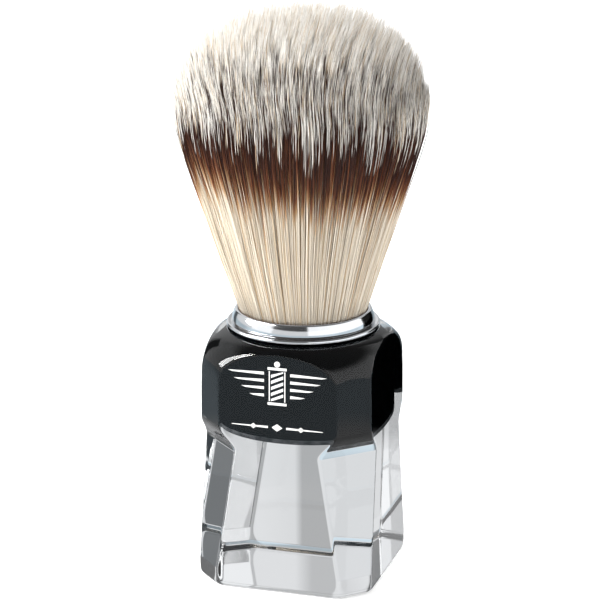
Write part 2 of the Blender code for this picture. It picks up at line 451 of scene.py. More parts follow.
def pale_floor():
    """The top of a light table."""
    made, tree, shader = node_material("pale_floor")
    place = object_coordinates(tree)
    grain = noise(tree, place, 6.0, detail=4.0)
    tree.links.new(
        ramp(tree, grain, [(0.3, (0.90, 0.90, 0.90)), (0.7, (0.92, 0.92, 0.92))]),
        shader.inputs["Base Color"],
    )
    shader.inputs["Roughness"].default_value = 0.8
    shader.inputs["Specular IOR Level"].default_value = 0.1
    shader.inputs["Emission Color"].default_value = (1.0, 1.0, 1.0, 1.0)
    shader.inputs["Emission Strength"].default_value = FLOOR_GLOW
    return made


# Mesh helpers


def link_piece(name, mesh, surface, slot, *replaced):
    obj = bpy.data.objects.new(name, mesh)
    bpy.context.scene.collection.objects.link(obj)
    mesh.materials.append(surface)
    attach(obj, "root")
    if replaced:
        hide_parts(*replaced)
    return obj


def ring_faces(rings, count):
    """Quads between successive rings of count points each."""
    faces = []
    for i in range(rings - 1):
        low = i * count
        high = low + count
        for j in range(count):
            k = (j + 1) % count
            faces.append((low + j, low + k, high + k, high + j))
    return faces


def lathe(name, profile, surface, slot, *replaced, steps=192, ring=False):
    """Turn (radius, height) points round Z. The profile runs up the outer side, and radius 0 closes an
    end. A ring's profile is closed instead."""
    points = []
    faces = []
    angles = np.linspace(0.0, math.tau, steps, endpoint=False)
    starts = []
    for r, z in profile:
        starts.append(len(points))
        if r < 1e-9:
            points.append((0.0, 0.0, z))
        else:
            points += [(r * math.cos(a), r * math.sin(a), z) for a in angles]
    pairs = list(zip(range(len(profile) - 1), range(1, len(profile))))
    if ring:
        pairs.append((len(profile) - 1, 0))
    for a, b in pairs:
        for j in range(steps):
            k = (j + 1) % steps
            if profile[a][0] < 1e-9:
                faces.append((starts[a], starts[b] + k, starts[b] + j))
            elif profile[b][0] < 1e-9:
                faces.append((starts[a] + j, starts[a] + k, starts[b]))
            else:
                faces.append((starts[a] + j, starts[a] + k, starts[b] + k, starts[b] + j))
    mesh = bpy.data.meshes.new(name)
    mesh.from_pydata(points, [], faces)
    mesh.shade_smooth()
    mesh.set_sharp_from_angle(angle=math.radians(35))
    return link_piece(name, mesh, surface, slot, *replaced)


# The clear block


def face_half(z):
    return FACE_HALF_BASE + (FACE_HALF_SHOULDER - FACE_HALF_BASE) * z / SHOULDER_LEVEL


def corner_distance(z):
    incline = np.interp(z, [FOOT_TOP, WAIST_LEVEL], [CORNER_FOOT, CORNER_WAIST])
    step = smooth_step(np.clip((z - WAIST_LEVEL) / (STEP_TOP - WAIST_LEVEL), 0.0, 1.0))
    return incline + (CORNER_UPPER - CORNER_WAIST) * step


def block_profile(v):
    """(height, inset, round limit) along the profile: base bevel, side, shoulder arc, bore edge, bore and
    bore floor. Below the shoulder the limit draws away from the sides along a parabola."""
    v = np.asarray(v, float)
    reach = SHOULDER_ARC_RADIUS - BORE_BREAK
    arc_end = math.acos((BORE_RADIUS + BORE_BREAK - SHOULDER_ARC_CENTRE_R) / reach)
    edge_z = SHOULDER_ARC_CENTRE_Z + reach * math.sin(arc_end)

    bevel = 0.5 * math.pi * (1.0 - np.clip(v, 0.0, 1.0))
    side = np.clip(v - 1.0, 0.0, 1.0)
    shoulder = arc_end * np.clip(v - 2.0, 0.0, 1.0)
    edge = arc_end + (math.pi - arc_end) * np.clip(v - 3.0, 0.0, 1.0)
    wall = np.clip(v - 4.0, 0.0, 1.0)
    corner = 0.5 * math.pi * np.clip(v - 5.0, 0.0, 1.0)

    z = BASE_BEVEL * (1.0 - np.sin(bevel)) + (SHOULDER_ARC_CENTRE_Z - BASE_BEVEL) * side
    inset = BASE_BEVEL * (1.0 - np.cos(bevel))
    below = SHOULDER_ARC_CENTRE_Z - z
    limit = SHOULDER_ARC_CENTRE_R + SHOULDER_ARC_RADIUS + below**2 / SHOULDER_RELEASE
    in_shoulder = v > 2.0
    z = np.where(in_shoulder, SHOULDER_ARC_CENTRE_Z + SHOULDER_ARC_RADIUS * np.sin(shoulder), z)
    shoulder_r = SHOULDER_ARC_CENTRE_R + SHOULDER_ARC_RADIUS * np.cos(shoulder)
    limit = np.where(in_shoulder, shoulder_r, limit)
    in_edge = v > 3.0
    z = np.where(in_edge, edge_z + BORE_BREAK * np.sin(edge), z)
    limit = np.where(in_edge, BORE_RADIUS + BORE_BREAK * (1.0 + np.cos(edge)), limit)
    in_wall = v > 4.0
    corner_z = BORE_FLOOR + BORE_BREAK
    z = np.where(in_wall, edge_z + (corner_z - edge_z) * wall - BORE_BREAK * np.sin(corner), z)
    limit = np.where(in_wall, BORE_RADIUS - BORE_BREAK * (1.0 - np.cos(corner)), limit)
    return z, inset, limit


def block_point(angle, v):
    """Point of the block's skin at an angle round the axis and a place along its profile."""
    z, inset, limit = block_profile(v)
    half = face_half(z)
    corner = corner_distance(z)
    foot = np.clip(z / FOOT_BLEND_TOP, 0.0, 1.0)
    sharp = FOOT_SHARPNESS * (UPPER_SHARPNESS / FOOT_SHARPNESS) ** smooth_step(foot)
    total = np.zeros_like(half + angle)
    for index in range(8):
        distance = corner if index % 2 else half
        facing = np.cos(angle - index * math.pi / 4.0)
        reach = np.where(facing > 0.2, distance / np.maximum(facing, 0.2), 1.0)
        total = total + np.exp(-sharp * (reach - half))
    radius = half - np.log(total) / sharp
    over = np.logaddexp(0.0, SHOULDER_SHARPNESS * (radius - limit)) / SHOULDER_SHARPNESS
    radius = radius - over - inset
    return np.stack([radius * np.cos(angle), radius * np.sin(angle), z], axis=-1)


def side_places(half_width, columns):
    """Signed places along one facet, crowded near both of its edges, leaving out the far end."""
    near = np.array([0.0, 0.08, 0.16, 0.26, 0.38, 0.55, 0.8, 1.2]) * MM
    middle = np.linspace(-1.0, 1.0, columns + 2)[1:-1]
    left = -half_width[:, None] + near[None, :]
    right = half_width[:, None] - near[None, :0:-1]
    inner = (half_width[:, None] - near[-1]) * middle[None, :]
    return np.concatenate([left, inner, right], axis=1)


def block_angles(z):
    """Angles of the points of each ring: the same count on every ring, following the eight edges."""
    half = face_half(z)
    corner = corner_distance(z)
    columns = []
    for index in range(8):
        if index % 2:
            distance, half_width = corner, math.sqrt(2.0) * half - corner
            places = side_places(half_width, CORNER_COLUMNS)
        else:
            distance, half_width = half, math.sqrt(2.0) * corner - half
            places = side_places(half_width, FACE_COLUMNS)
        columns.append(index * math.pi / 4.0 + np.arctan2(places, distance[:, None]))
    return np.concatenate(columns, axis=1)


def handle_block():
    bevel = np.linspace(0.0, 1.0, 7)
    heights = np.concatenate([np.linspace(*stretch) for stretch in SIDE_RINGS])
    side = 1.0 + (heights * MM - BASE_BEVEL) / (SHOULDER_ARC_CENTRE_Z - BASE_BEVEL)
    shoulder = np.linspace(2.0, 3.0, 84)
    edge = np.linspace(3.0, 4.0, 10)[1:]
    wall = np.array([4.3, 4.6, 4.9, 5.0])
    corner = np.linspace(5.0, 6.0, 6)[1:]
    v = np.concatenate([bevel, side, shoulder, edge, wall, corner])
    z = block_profile(v)[0]
    angles = block_angles(z)
    rings, count = angles.shape
    v_grid = np.repeat(v[:, None], count, axis=1)
    points = block_point(angles, v_grid)
    step = 1e-5
    round_way = block_point(angles + step, v_grid) - block_point(angles - step, v_grid)
    up_way = block_point(angles, v_grid + step) - block_point(angles, v_grid - step)
    normals = np.cross(round_way, up_way).reshape(-1, 3)
    points = points.reshape(-1, 3)
    normals /= np.linalg.norm(normals, axis=1)[:, None]

    base_centre = len(points)
    floor_centre = base_centre + 1
    points = np.vstack([points, [[0.0, 0.0, 0.0], [0.0, 0.0, BORE_FLOOR]]])
    normals = np.vstack([normals, [[0.0, 0.0, -1.0], [0.0, 0.0, 1.0]]])
    faces = ring_faces(rings, count)
    top = (rings - 1) * count
    faces += [(base_centre, (j + 1) % count, j) for j in range(count)]
    faces += [(top + j, top + (j + 1) % count, floor_centre) for j in range(count)]
    mesh = bpy.data.meshes.new("clear_block")
    mesh.from_pydata(points.tolist(), [], faces)
    mesh.shade_smooth()
    mesh.normals_split_custom_set_from_vertices(normals.tolist())
    link_piece("clear_block", mesh, clear_acrylic(), "clear_acrylic", "handle_block")


# Cup and cement


def socket_cup():
    radius = BORE_RADIUS + BONDED
    rim = 0.3 * MM
    floor_top = CUP_FLOOR + CUP_FLOOR_THICKNESS
    profile = [(0.0, CEMENT_TOP), (radius, CEMENT_TOP)]
    profile += arc(radius - rim, CUP_TOP - rim, rim, 0, 90, 5)
    profile += arc(CUP_INNER_RADIUS + rim, CUP_TOP - rim, rim, 90, 180, 5)
    profile += [(CUP_INNER_RADIUS, floor_top), (0.0, floor_top)]
    low = (0.0010, 0.0013, 0.0016)
    high = (0.0018, 0.0023, 0.0028)
    surface = black_moulding("black_plastic", low, high, roughness=0.5, grain=110.0)
    lathe("socket_cup", profile, surface, "black_plastic", "insert_cup")


def cement_bed():
    """The cement under the cup, seen through the waist of the block as a dark, uneven disc."""
    radius = BORE_RADIUS + BONDED
    low = BORE_FLOOR - BONDED
    lip = 0.15 * MM
    profile = [(0.0, low)]
    profile += arc(radius - lip, low + lip, lip, -90, 0, 4)
    top = CEMENT_TOP - 0.02 * MM
    profile += [(radius, top), (0.0, top)]
    dark = (0.02, 0.022, 0.024)
    pale = (0.13, 0.135, 0.14)
    surface = black_moulding("black_cement", dark, pale, roughness=0.7, grain=420.0)
    lathe("cement_bed", profile, surface, "black_cement", "cup_cement")


# Ferrule


def chrome_ferrule():
    """From the hidden skirt up over the seat, bead, groove and flared collar to the rolled lip."""
    skirt = 13.6 * MM
    bore = 13.0 * MM
    seat = 51.45 * MM
    bead = 0.36 * MM
    bead_middle = 51.83 * MM
    groove = 14.02 * MM
    groove_low = 52.26 * MM
    groove_high = 52.50 * MM
    groove_edge = 0.06 * MM
    foot_edge = 0.1 * MM
    collar_underside = 52.56 * MM
    collar_foot = (14.36 * MM, 52.70 * MM)
    collar_top = (13.87 * MM, 54.35 * MM)
    collar_bow = 0.09 * MM
    lip = 0.4 * MM
    profile = [(bore, FERRULE_BOTTOM), (skirt, FERRULE_BOTTOM), (skirt, seat)]
    profile += arc(BEAD_RADIUS - bead, bead_middle, bead, -80, 112, 18)
    profile += [(groove + groove_edge, groove_low - groove_edge), (groove, groove_low), (groove, groove_high)]
    profile += arc(collar_foot[0] - foot_edge, collar_underside + foot_edge, foot_edge, -90, 10, 6)
    for i in range(1, 10):
        t = i / 10
        bow = collar_bow * math.sin(math.pi * t)
        r = collar_foot[0] + (collar_top[0] - collar_foot[0]) * t + bow
        z = collar_foot[1] + (collar_top[1] - collar_foot[1]) * t
        profile.append((r, z))
    profile += arc(bore + lip, RIM_TOP - lip, lip, 15, 165, 12)
    profile += [(bore, RIM_TOP - 0.5 * MM)]
    lathe("chrome_ferrule", profile, chrome(), "chrome", "ferrule", ring=True, steps=240)


def groove_shadow_ring():
    """A dark ring lying in the groove under the collar: painted shadow of the groove."""
    inner = 14.0 * MM
    outer = 14.06 * MM
    profile = [(inner, 52.22 * MM), (outer, 52.24 * MM), (outer, 52.50 * MM), (inner, 52.52 * MM)]
    surface = resin("painted_groove_shadow", (0.012, 0.010, 0.009), (0.035, 0.028, 0.024), 0.5)
    lathe("groove_shadow_ring", profile, surface, "chrome", ring=True, steps=240)


def rim_shadow_line():
    """A thin brown meniscus where the fibres leave the ferrule: painted contact shadow at the rim."""
    inner = 12.6 * MM
    outer = 13.02 * MM
    top = RIM_TOP - 0.02 * MM
    low = top - 0.9 * MM
    profile = [(inner, low), (outer, low), (outer, top - 0.12 * MM), (inner, top)]
    surface = resin("painted_rim_shadow", (0.05, 0.026, 0.014), (0.12, 0.065, 0.036), 0.35)
    lathe("rim_shadow_line", profile, surface, "epoxy", ring=True, steps=192)


# Fibres


def bundle_radius(z):
    """Outer radius of the bundle at a height: a cone that turns upright at the dome's edge."""
    cone = CONE_START_RADIUS + CONE_SLOPE * (z - RIM_TOP)
    cone_end = CONE_START_RADIUS + CONE_SLOPE * (CONE_TOP - RIM_TOP)
    drop = DOME_LEVEL - CONE_TOP
    t = np.clip((z - CONE_TOP) / drop, 0.0, 1.0)
    rest = 1.0 - smooth_step(t)
    slant = t**3 - 2 * t**2 + t
    turned_up = rest * cone_end + (1.0 - rest) * DOME_RADIUS + slant * drop * CONE_SLOPE
    return np.where(z < CONE_TOP, cone, turned_up)


def strand_radius(share, z):
    """How far from the axis a strand runs: inner ones straight, the outermost along the outline."""
    cone = CONE_START_RADIUS + CONE_SLOPE * (z - RIM_TOP)
    hug = share**OUTLINE_HUG
    return share * (cone * (1.0 - hug) + bundle_radius(z) * hug)


def dome_radius(z):
    rise = np.clip((z - DOME_LEVEL) / DOME_HEIGHT, 0.0, 1.0)
    return DOME_RADIUS * (1.0 - rise**DOME_POWER) ** (1.0 / DOME_POWER)


def tip_height(share):
    """Where a strand meets the dome, by bisection."""
    low = np.full_like(share, DOME_LEVEL)
    high = np.full_like(share, KNOT_TOP)
    for _ in range(40):
        middle = 0.5 * (low + high)
        inside = strand_radius(share, middle) < dome_radius(middle)
        low = np.where(inside, middle, low)
        high = np.where(inside, high, middle)
    return 0.5 * (low + high)


def tuft_pull(share, angle, rng):
    """From each strand to the middle of its nearest tuft, as shares of the bundle's radius."""
    spread = rng.random((TUFTS, 2))
    tufts = kdtree.KDTree(TUFTS)
    for i, (u, w) in enumerate(spread):
        r = math.sqrt(u) * TUFT_REACH
        tufts.insert((r * math.cos(w * math.tau), r * math.sin(w * math.tau), 0.0), i)
    tufts.balance()
    pull = np.zeros((len(share), 2))
    for i in range(len(share)):
        x = share[i] * math.cos(angle[i])
        y = share[i] * math.sin(angle[i])
        nearest = tufts.find((x, y, 0.0))[0]
        pull[i] = (nearest.x - x, nearest.y - y)
    return pull


def strand_paths(rng):
    """(share, angle, tip height, tuft pull, tone shift, tone stretch) of every strand, evenly packed with
    a little disorder."""
    index = np.arange(FIBRE_COUNT) + 0.5
    share = np.sqrt(index / FIBRE_COUNT)
    angle = index * math.pi * (3.0 - math.sqrt(5.0))
    spacing = 1.0 / math.sqrt(FIBRE_COUNT)
    x = share * np.cos(angle) + rng.normal(0.0, DISORDER * spacing, FIBRE_COUNT)
    y = share * np.sin(angle) + rng.normal(0.0, DISORDER * spacing, FIBRE_COUNT)
    share = np.minimum(np.hypot(x, y), 1.0)
    angle = np.arctan2(y, x)
    rise = rng.normal(TIP_RISE / MM, TIP_SPREAD / MM, FIBRE_COUNT)
    tip = tip_height(share) + np.clip(rise, TIP_LOWEST / MM, TIP_HIGHEST / MM) * MM
    pull = tuft_pull(share, angle, rng)
    apart = np.hypot(pull[:, 0], pull[:, 1]) * math.sqrt(TUFTS)
    outlying = np.clip((apart - TUFT_HEART) / (TUFT_RIM - TUFT_HEART), 0.0, 1.0)
    tip -= outlying * rng.uniform(TUFT_LEAST_DROP, 1.0, FIBRE_COUNT) * TUFT_EDGE_DROP
    left = -share * (RIGHT_X * np.cos(angle) + RIGHT_Y * np.sin(angle))
    facing = share * np.maximum(TOWARDS_X * np.cos(angle) + TOWARDS_Y * np.sin(angle), 0.0)
    outward = smooth_step(np.clip((share - SHIFT_FROM) / SHIFT_OVER, 0.0, 1.0))
    exposed = CROWN_SHIFT + (1.0 - CROWN_SHIFT) * outward
    loss = LEFT_SHIFT_LOSS * np.maximum(left, 0.0) + RIGHT_SHIFT_LOSS * np.maximum(-left, 0.0)
    exposed = exposed * (1.0 - loss)
    # The dark tone moved up the strands between tufts: partly the band, partly painted shade of the gaps,
    # with less of it on the lit left.
    gap_shade_shift = outlying * exposed * rng.uniform(TUFT_LEAST_SHIFT, 1.0, FIBRE_COUNT) * TUFT_EDGE_SHIFT
    shift = gap_shade_shift + left * BAND_TILT
    stretch = facing**2 * BAND_STRETCH - left * BAND_FOOT_TILT + DARKER_STRETCH * gap_shade_shift
    return share, angle, tip, pull * DOME_RADIUS * TUFT_PULL, shift, stretch


def lean(z):
    """How far the bundle's middle is off the axis along X, at a height."""
    crown = np.clip((z - DOME_LEVEL) / DOME_HEIGHT, 0.0, 1.0) ** 4
    side = smooth_step(np.clip((z - SIDE_LEAN_FROM) / SIDE_LEAN_OVER, 0.0, 1.0))
    root = smooth_step(np.clip((z - RIM_TOP) / ROOT_LEAN_OVER, 0.0, 1.0))
    return CROWN_LEAN * crown - SIDE_LEAN * side - ROOT_LEAN * root


def strand_centres(share, angle, tip, pull, start, points, rng):
    """The centre line of each strand, from its start height to its tip."""
    count = len(share)
    t = np.linspace(0.0, 1.0, points) ** TIP_CROWDING
    z = start[:, None] + (tip - start)[:, None] * t[None, :]
    r = strand_radius(share[:, None], z)
    climb = np.clip((z - RIM_TOP) / (DOME_LEVEL - RIM_TOP), 0.0, CLIMB_LIMIT)
    drift = rng.normal(0.0, STRAY, (count, 2))
    phase = rng.random((count, 2)) * math.tau
    wave = CRIMP * np.sin(phase[:, None, :] + CRIMP_RATE * z[:, :, None])
    swing = (drift[:, None, :] + wave) * climb[:, :, None]
    offset = pull[:, None, :] * (climb**2)[:, :, None] + swing
    x = r * np.cos(angle)[:, None] + offset[:, :, 0]
    y = r * np.sin(angle)[:, None] + offset[:, :, 1]
    ceiling = bundle_radius(z) * OUTLINE_ROOM
    scale = np.minimum(1.0, ceiling / np.maximum(np.hypot(x, y), 1e-9))
    aside = lean(z)
    return np.stack([x * scale + aside, y * scale + LEAN_ALONG_Y * aside, z], axis=-1)


def strand_lengths(centre):
    """Distance from the tip, along the strand, of every point of every centre line."""
    steps = np.linalg.norm(np.diff(centre, axis=1), axis=2)
    along = np.concatenate([np.zeros((len(centre), 1)), np.cumsum(steps, axis=1)], axis=1)
    return along[:, -1:] - along


def strand_skin(centre, from_tip, rng):
    """Three corners round every point of the centre lines but the last, which is the strand's tip."""
    count = len(centre)
    body = centre.shape[1] - 1
    way = np.gradient(centre, axis=1)
    way /= np.linalg.norm(way, axis=2, keepdims=True)
    across = np.cross(way, np.array([0.0, 1.0, 0.0]))
    across /= np.linalg.norm(across, axis=2, keepdims=True)
    other = np.cross(way, across)
    fullness = np.minimum(1.0, from_tip / FIBRE_TAPER) ** TAPER_POWER
    thick = FIBRE_TIP_RADIUS + (FIBRE_RADIUS - FIBRE_TIP_RADIUS) * fullness
    thick *= rng.uniform(THINNEST, THICKEST, (count, 1))
    roll = rng.random(count) * math.tau
    corners = []
    for side in range(3):
        turn = (roll + side * math.tau / 3.0)[:, None, None]
        spoke = across[:, :body] * np.cos(turn) + other[:, :body] * np.sin(turn)
        corners.append(centre[:, :body] + spoke * thick[:, :body, None])
    rings = np.stack(corners, axis=2).reshape(count, body * 3, 3)
    return np.concatenate([rings, centre[:, -1:]], axis=1)


def strand_faces(count, body):
    """(corner of every loop, corners of every face) of strands with that many rings, closed at both ends."""
    quads = []
    for i in range(body - 1):
        for j in range(3):
            k = (j + 1) % 3
            quads.append((3 * i + j, 3 * i + k, 3 * i + 3 + k, 3 * i + 3 + j))
    last = 3 * (body - 1)
    tip = 3 * body
    tris = [(0, 2, 1)] + [(last + j, last + (j + 1) % 3, tip) for j in range(3)]
    base = (np.arange(count) * (tip + 1))[:, None, None]
    quad_loops = (np.array(quads)[None] + base).reshape(count, -1)
    tri_loops = (np.array(tris)[None] + base).reshape(count, -1)
    loops = np.concatenate([quad_loops, tri_loops], axis=1).reshape(-1)
    return loops, np.tile([4] * len(quads) + [3] * len(tris), count)


def strand_map(from_tip, shift, stretch, rng):
    """(u, v) of every corner: the strand's column, and its distance from the tip with the tone shifts."""
    count = len(from_tip)
    body = from_tip.shape[1] - 1
    down = smooth_step(np.clip((from_tip - BAND_STRETCH_FROM) / BAND_STRETCH_OVER, 0.0, 1.0))
    tone_place = from_tip + TONE_START + shift[:, None] - stretch[:, None] * down
    column = rng.integers(0, TONE_COLUMNS, count)
    u = np.empty((count, 3 * body + 1))
    v = np.empty((count, 3 * body + 1))
    for side in range(3):
        u[:, side:-1:3] = ((column + 0.2 + 0.3 * side) / TONE_COLUMNS)[:, None]
        v[:, side:-1:3] = tone_place[:, :body] / TONE_SPAN
    u[:, -1] = (column + 0.5) / TONE_COLUMNS
    v[:, -1] = (TONE_START + shift) / TONE_SPAN
    return np.stack([u.reshape(-1), v.reshape(-1)], axis=1)


def strand_mesh(name, share, angle, tip, pull, shift, stretch, start, points, rng):
    """Closed three-sided tapered strands from start height to tip, as one mesh."""
    centre = strand_centres(share, angle, tip, pull, start, points, rng)
    from_tip = strand_lengths(centre)
    corners = strand_skin(centre, from_tip, rng).reshape(-1, 3)
    loops, sizes = strand_faces(len(share), points - 1)
    begins = np.concatenate([[0], np.cumsum(sizes)[:-1]])
    mesh = bpy.data.meshes.new(name)
    mesh.vertices.add(len(corners))
    mesh.vertices.foreach_set("co", corners.reshape(-1).astype(np.float32))
    mesh.loops.add(len(loops))
    mesh.loops.foreach_set("vertex_index", loops.astype(np.int32))
    mesh.polygons.add(len(sizes))
    mesh.polygons.foreach_set("loop_start", begins.astype(np.int32))
    mesh.polygons.foreach_set("loop_total", sizes.astype(np.int32))
    mesh.update(calc_edges=True)
    mesh.shade_smooth()
    coordinates = strand_map(from_tip, shift, stretch, rng)[loops]
    layer = mesh.uv_layers.new(name="OFBake")
    layer.data.foreach_set("uv", coordinates.reshape(-1).astype(np.float32))
    return mesh


def fibre_knot():
    rng = np.random.default_rng(11)
    surface = fibre_tones()
    share, angle, tip, pull, shift, stretch = strand_paths(rng)
    outer = share >= FULL_LENGTH_FROM
    root = RIM_TOP - ROOT_DEPTH
    groups = (("side_fibres", outer, 11, 3), ("crown_fibres", ~outer, 6, 4))
    for label, chosen, points, parts in groups:
        sector = ((angle + math.pi) / math.tau * parts).astype(int) % parts
        for part in range(parts):
            picked = chosen & (sector == part)
            start = np.full(picked.sum(), root) if label == "side_fibres" else tip[picked] - SHORT_FIBRE
            strands = [values[picked] for values in (share, angle, tip, pull, shift, stretch)]
            mesh = strand_mesh(f"{label}_{part}", *strands, start, points, rng)
            strands_piece = link_piece(mesh.name, mesh, surface, "fibre", "fibre_knot")
            strands_piece.visible_glossy = False


def fibre_core():
    """The inside of the bundle, kept well below the visible strands."""
    shares = np.linspace(0.0, FULL_LENGTH_FROM - 0.02, 14)
    crown = tip_height(shares) - CORE_DEPTH
    radii = strand_radius(shares, crown)
    side = np.linspace(RIM_TOP - CORE_SINK, crown[-1], 8)[:-1]
    widest = np.linspace(CORE_FOOT_SHARE, shares[-1], 8)[:-1]
    profile = [(0.0, side[0])]
    profile += [(float(strand_radius(share, z)), float(z)) for share, z in zip(widest, side)]
    profile += [(float(r), float(z)) for r, z in zip(radii[::-1], crown[::-1])]
    core = lathe("fibre_core", profile, core_shade(), "fibre", "fibre_knot", steps=96)
    core.visible_glossy = False


# Printed badge


def box_outline(left, right, low, high):
    return [(left, low), (right, low), (right, high), (left, high)]


def disc_outline(middle_u, middle_w, radius, points=28):
    angles = np.linspace(0.0, math.tau, points, endpoint=False)
    return [(middle_u + radius * math.cos(a), middle_w + radius * math.sin(a)) for a in angles]


def mirrored(outline, sign):
    """An outline on the right, or on the left with its points in the same sense of turning."""
    if sign > 0.0:
        return outline
    return [(-u, w) for u, w in reversed(outline)]


def striped_pole():
    """A barber's pole: slanting stripes between two rails, a cap at each end and a ball on top."""
    half = 1.25
    reach = 3.1
    rail = 0.2
    rail_place = half + 0.35
    rise = 1.15
    pitch = 1.24
    stripe = 0.62
    first = -reach + 0.42 - 0.5 * rise
    cap_half = 1.95
    cap_middle = reach + 0.5
    cap_tall = 0.26
    outlines = []
    for i in range(5):
        low = first + i * pitch
        high = low + stripe
        corners = [(-half, low), (half, low + rise), (half, high + rise), (-half, high)]
        outlines.append([(u, min(max(w, -reach), reach)) for u, w in corners])
    for sign in (-1.0, 1.0):
        middle = sign * rail_place
        outlines.append(box_outline(middle - rail / 2, middle + rail / 2, -reach, reach))
        end = sign * cap_middle
        outlines.append(box_outline(-cap_half, cap_half, end - cap_tall, end + cap_tall))
    outlines.append(disc_outline(0.0, reach + 1.45, 0.6))
    return outlines


def tapered_bars(sign):
    """A fan of four bars to one side of the pole."""
    start = 2.7
    top_row = 2.55
    row_pitch = 1.5
    outlines = []
    for row, length in enumerate((7.4, 6.2, 4.7, 3.0)):
        level = top_row - row_pitch * row
        end = start + length
        bar = [(start, level - 0.3), (end - 0.9, level - 0.16), (end, level + 0.1), (start, level + 0.3)]
        outlines.append(mirrored(bar, sign))
    return outlines


def lozenge_rule():
    """A rule that tapers outwards from a gap, with a lozenge in the gap and one on each side."""
    level = -8.5
    near, far = 1.9, 9.4
    near_half, far_half = 0.22, 0.06
    outlines = []
    for sign in (-1.0, 1.0):
        rule = [
            (near, level - near_half),
            (far, level - far_half),
            (far, level + far_half),
            (near, level + near_half),
        ]
        outlines.append(mirrored(rule, sign))
    for middle, wide, tall in ((0.0, 1.1, 0.75), (-4.9, 0.75, 0.55), (4.9, 0.75, 0.55)):
        corners = [(-wide, 0.0), (0.0, -tall), (wide, 0.0), (0.0, tall)]
        outlines.append([(middle + u, level + w) for u, w in corners])
    return outlines


def badge_outlines():
    """Closed outlines in millimetres from the badge's middle, turning counter-clockwise."""
    return striped_pole() + tapered_bars(-1.0) + tapered_bars(1.0) + lozenge_rule()


def printed_badge():
    """The print as thin closed solids, sunk a hair into the front face and a hair proud of it."""
    sunk = -0.02 * MM
    proud = 0.03 * MM
    points = []
    faces = []
    for outline in badge_outlines():
        count = len(outline)
        start = len(points)
        for lift in (sunk, proud):
            for u, w in outline:
                z = BADGE_MIDDLE + w * MM
                points.append((u * MM, -(face_half(z) + lift), z))
        faces.append([start + i for i in reversed(range(count))])
        faces.append([start + count + i for i in range(count)])
        faces += [
            (start + i, start + (i + 1) % count, start + count + (i + 1) % count, start + count + i)
            for i in range(count)
        ]
    mesh = bpy.data.meshes.new("printed_badge")
    mesh.from_pydata(points, [], faces)
    link_piece("printed_badge", mesh, printed_ink(), "print")


# Stage


def stage_floor():
    """A pale sheet that mirrors and glass don't see: for them the world's rows stand in for it."""
    mesh = bpy.data.meshes.new("floor")
    reach = 8.0
    corners = [(-reach, -reach, 0.0), (reach, -reach, 0.0), (reach, reach, 0.0), (-reach, reach, 0.0)]
    mesh.from_pydata(corners, [], [(0, 1, 2, 3)])
    mesh.materials.append(pale_floor())
    floor = bpy.data.objects.new("floor", mesh)
    bpy.context.scene.collection.objects.link(floor)
    floor.location.z = -0.02 * MM
    floor.visible_glossy = False
    floor.visible_transmission = False


# The studio's brightness, as rows of (azimuth in degrees from the front, value) from the ground up. Each
# row holds above the range of heights of the direction given with it: white cards to both sides, a grey
# backdrop whose edge stands behind the object, and black flags behind it on the right and far left.
PLAIN_TINT = (0.985, 0.997, 1.012)
LEVEL_TINT = (0.85, 1.0, 1.10)
WORLD_LOW = [
    (-180, 0.50), (-164, 0.50), (-162.9, 0.75), (-134, 0.74), (-100, 0.70), (0, 0.62),
    (90, 0.80), (150, 0.70), (163.4, 0.60), (164.2, 0.145), (170, 0.145), (180, 0.40),
]
WORLD_BELOW = [
    (-180, 0.415), (-162.97, 0.415), (-162.80, 0.72), (-162, 0.77), (-130, 0.77),
    (-60, 0.80), (-30, 0.95), (5, 0.95), (45, 0.95), (125, 0.95), (150, 0.70), (165, 0.74),
    (170, 0.74), (175, 0.50),
]
WORLD_LEVEL = [
    (-180, 0.46), (-163.7, 0.46), (-163.1, 0.75), (-138, 0.80), (-131, 0.10), (-121, 0.10),
    (-118, 0.52), (-90, 0.52), (-74, 0.80), (-60, 0.80), (-37, 0.62), (25, 0.58),
    (45, 0.72), (110, 0.72), (126, 0.90), (129, 0.0), (165.7, 0.0), (166.2, 0.19),
    (175, 0.40),
]
WORLD_ABOVE = [
    (-180, 0.50), (-163.3, 0.50), (-162.9, 0.76), (-136, 0.78), (-131, 0.05), (-122, 0.05),
    (-119, 0.70), (-74, 0.74), (-71, 1.15), (-36, 1.15), (-33, 0.72), (23, 0.72),
    (26, 1.25), (127, 1.25), (129, 0.01), (163, 0.01), (165, 0.05), (166, 0.30),
    (167.5, 0.85), (171, 0.85), (176, 0.50),
]
WORLD_HIGH = [
    (-180, 0.50), (-163.25, 0.52), (-163, 0.74), (-150, 0.76), (-134, 0.75), (-126, 0.60),
    (-119, 0.70), (-71, 0.80), (-40, 1.00), (-34, 0.06), (23, 0.06), (26, 1.10),
    (127, 1.20), (135, 0.75), (162, 0.70), (163.5, 0.15), (168, 0.15), (175, 0.40),
]
WORLD_ROWS = [
    (WORLD_BELOW, PLAIN_TINT, -0.413, -0.405),
    (WORLD_LEVEL, LEVEL_TINT, -0.335, -0.325),
    (WORLD_ABOVE, PLAIN_TINT, -0.03, 0.03),
    (WORLD_HIGH, PLAIN_TINT, 0.40, 0.44),
]
WORLD_OVERHEAD = 0.12
OVERHEAD_FROM = 0.6
OVERHEAD_TO = 0.8
WORLD_BACKDROP = 0.98

# A bright strip to the left.
STRIP_LEFT = -92.0
STRIP_RIGHT = -68.0
STRIP_LOW = 0.20
STRIP_HIGH = 0.80
STRIP_FADE = 0.05
STRIP_EDGE = 0.5
STRIP_GLOW = 14.0

# Light on matt surfaces.
AMBIENT_LEFT = 1.06
AMBIENT_RIGHT = 0.97
AMBIENT_TOP = 0.58
AMBIENT_SIDE = 0.9
AMBIENT_TOP_FROM = 0.35
FLOOR_GLOW = 0.28

# A softbox to the left.
KEY_AZIMUTH = -52.0
KEY_ELEVATION = 38.0
KEY_DISTANCE = 0.9
KEY_SIZE = 0.28
KEY_POWER = 7.0

DIFFUSE_BOUNCES = 8

